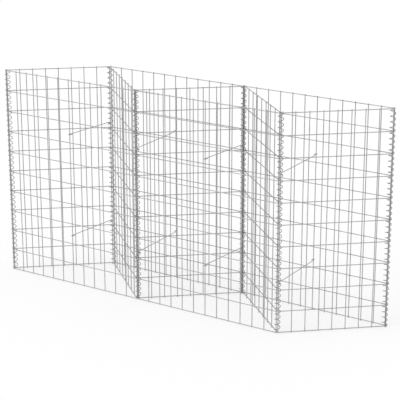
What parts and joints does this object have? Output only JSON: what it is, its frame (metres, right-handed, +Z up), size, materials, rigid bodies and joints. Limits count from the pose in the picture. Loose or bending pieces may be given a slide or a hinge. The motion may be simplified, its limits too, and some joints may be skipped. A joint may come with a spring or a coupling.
{
  "type": "gabion raised bed",
  "caption": "Open-topped planting bed of welded wire mesh panels in a zigzag of triangular bays, laced at the corners with spiral wires and tied across by hooked spacer wires.",
  "frame": {"origin": "centre of the base, at the height of the cut lower ends of the upright wires", "axes": "+X along the front faces, towards the right end; +Y from the front faces to the back ones; +Z up"},
  "size_m": [1.8908, 0.3454, 1.009],
  "materials": {
    "mesh_wire": "galvanised, satin",
    "spiral_wire": "galvanised, satin",
    "spacer_wire": "galvanised, satin"
  },
  "bodies": {
    "root": {"front_left_panel": "mesh_wire", "front_right_panel": "mesh_wire", "back_left_panel": "mesh_wire", "back_right_panel": "mesh_wire", "left_end_panel": "mesh_wire", "right_end_panel": "mesh_wire", "left_partition": "mesh_wire", "middle_partition": "mesh_wire", "right_partition": "mesh_wire", "spiral_front_left": "spiral_wire", "spiral_front_middle": "spiral_wire", "spiral_front_right": "spiral_wire", "spiral_back_left": "spiral_wire", "spiral_back_middle": "spiral_wire", "spiral_back_right": "spiral_wire", "spacer_lower_1": "spacer_wire", "spacer_lower_2": "spacer_wire", "spacer_lower_3": "spacer_wire", "spacer_lower_4": "spacer_wire", "spacer_upper_1": "spacer_wire", "spacer_upper_2": "spacer_wire", "spacer_upper_3": "spacer_wire", "spacer_upper_4": "spacer_wire"}
  },
  "joints": []
}
